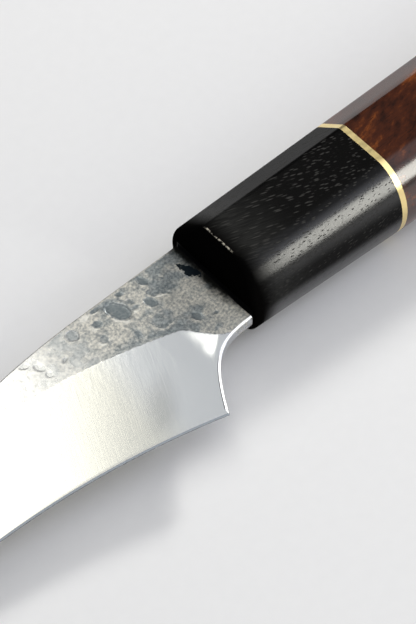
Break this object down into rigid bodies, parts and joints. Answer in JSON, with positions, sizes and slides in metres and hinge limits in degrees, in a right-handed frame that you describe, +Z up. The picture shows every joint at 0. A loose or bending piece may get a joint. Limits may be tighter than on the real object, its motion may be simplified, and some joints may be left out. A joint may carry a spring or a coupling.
{
  "type": "tourne knife",
  "caption": "Small bird's-beak paring knife with a forged hidden-tang blade, black wooden ferrule, brass spacer and tapered wooden handle.",
  "frame": {"origin": "under the middle of the knife's box, on the surface that the knife lies on", "axes": "+X from the tip to the butt, +Y from the edge to the spine, +Z up, with the knife on the lower side flat of its handle"},
  "size_m": [0.195, 0.0238, 0.0172],
  "materials": {
    "blade_steel": "satin-polished bevel below dark pitted forge scale",
    "black_wood": "satin, open-pored black hardwood",
    "brass": "polished",
    "figured_wood": "polished, figured red-brown hardwood",
    "dowel_wood": "plain turned hardwood",
    "amber_epoxy": "cured clear epoxy",
    "black_epoxy": "cured black epoxy"
  },
  "bodies": {
    "root": {"blade": "blade_steel", "ferrule": "black_wood", "brass_spacer": "brass", "handle_body": "figured_wood", "core_dowel": "dowel_wood", "tang_bed": "amber_epoxy", "mouth_seal": "black_epoxy"}
  },
  "joints": []
}
